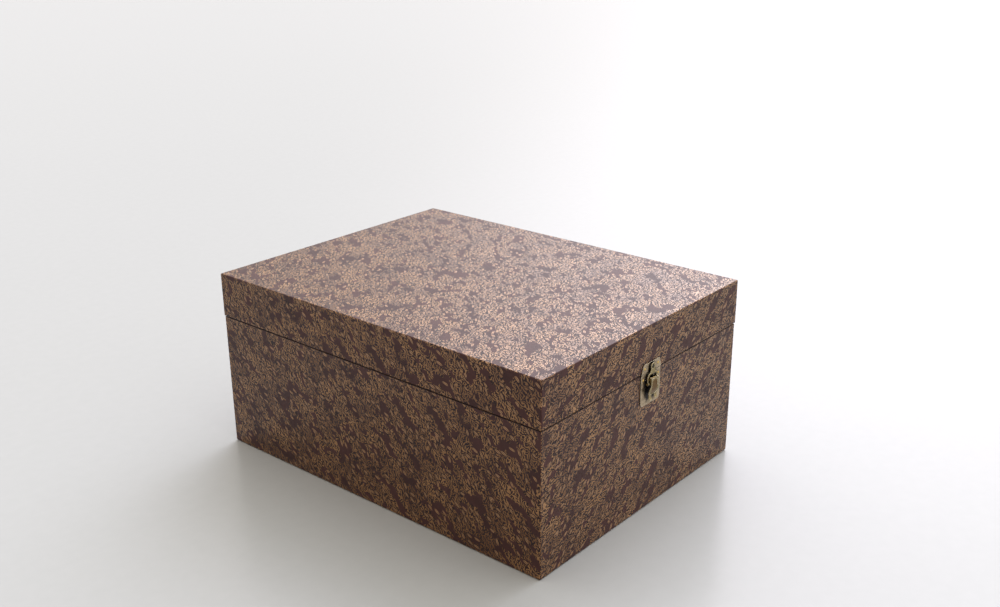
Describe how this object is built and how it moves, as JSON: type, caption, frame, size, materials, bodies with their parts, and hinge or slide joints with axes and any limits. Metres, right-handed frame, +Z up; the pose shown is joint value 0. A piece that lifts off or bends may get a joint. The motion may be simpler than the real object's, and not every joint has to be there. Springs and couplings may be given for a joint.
{
  "type": "photo storage box",
  "caption": "Paper-covered board box for photographs and papers, with a shallow lid hinged at the rear and a small draw latch at the front.",
  "frame": {"origin": "middle of the underside, on the surface that the box stands on", "axes": "+X to the right across the front, +Y from the front with the latch to the rear with the hinges, +Z up"},
  "size_m": [0.301, 0.4093, 0.18],
  "materials": {
    "printed_paper": "satin covering paper, dark plum brown printed all over with bronze foliage",
    "lining_card": "card faced with plain ivory paper",
    "underside_paper": "plain matte dark brown paper",
    "fibreboard": "sawn medium density fibreboard",
    "antique_brass": "stamped brass, darkened in the hollows and rubbed bright on the edges",
    "brassed_pin": "drawn brass wire with riveted heads, slightly darkened",
    "brass_nail": "bright brass domed nail"
  },
  "bodies": {
    "base": {"base_cover_paper": "printed_paper", "base_floor_board": "fibreboard", "base_floor_lining": "lining_card", "base_front_board": "fibreboard", "base_front_lining": "lining_card", "base_left_board": "fibreboard", "base_left_lining": "lining_card", "base_rear_board": "fibreboard", "base_rear_lining": "lining_card", "base_right_board": "fibreboard", "base_right_lining": "lining_card", "base_underside_paper": "underside_paper", "hinge_base_nails": "brass_nail", "hinge_left_base_leaf": "antique_brass", "hinge_left_pin": "brassed_pin", "hinge_right_base_leaf": "antique_brass", "hinge_right_pin": "brassed_pin", "latch_pivot_pin": "brassed_pin", "latch_plate": "antique_brass", "latch_plate_nails": "brass_nail"},
    "lid": {"hinge_left_lid_leaf": "antique_brass", "hinge_lid_nails": "brass_nail", "hinge_right_lid_leaf": "antique_brass", "lid_cover_paper": "printed_paper", "lid_front_board": "fibreboard", "lid_front_lining": "lining_card", "lid_left_board": "fibreboard", "lid_left_lining": "lining_card", "lid_rear_board": "fibreboard", "lid_rear_lining": "lining_card", "lid_right_board": "fibreboard", "lid_right_lining": "lining_card", "lid_top_board": "fibreboard", "lid_top_lining": "lining_card", "strike_nails": "brass_nail", "strike_plate": "antique_brass"},
    "latch_lever": {"latch_lever": "antique_brass", "latch_bail_pin": "brassed_pin"},
    "latch_bail": {"latch_bail": "antique_brass"}
  },
  "joints": [
    {"name": "lid_hinge", "type": "hinge", "parent": "base", "child": "lid", "pos_m": [0, 0.2007, 0.136], "axis": [-1, 0, 0], "range_deg": [0, 105]},
    {"name": "latch_lever_pivot", "type": "hinge", "parent": "base", "child": "latch_lever", "pos_m": [0.0034, -0.20115, 0.13], "axis": [-1, 0, 0], "range_deg": [0, 100]},
    {"name": "latch_bail_pivot", "type": "hinge", "parent": "latch_lever", "child": "latch_bail", "pos_m": [0.0034, -0.20055, 0.126], "axis": [-1, 0, 0], "range_deg": [-115, 0]}
  ],
  "couplings": [
    {"joint": "latch_bail_pivot", "follows": "latch_lever_pivot", "ratio": -1.15}
  ]
}
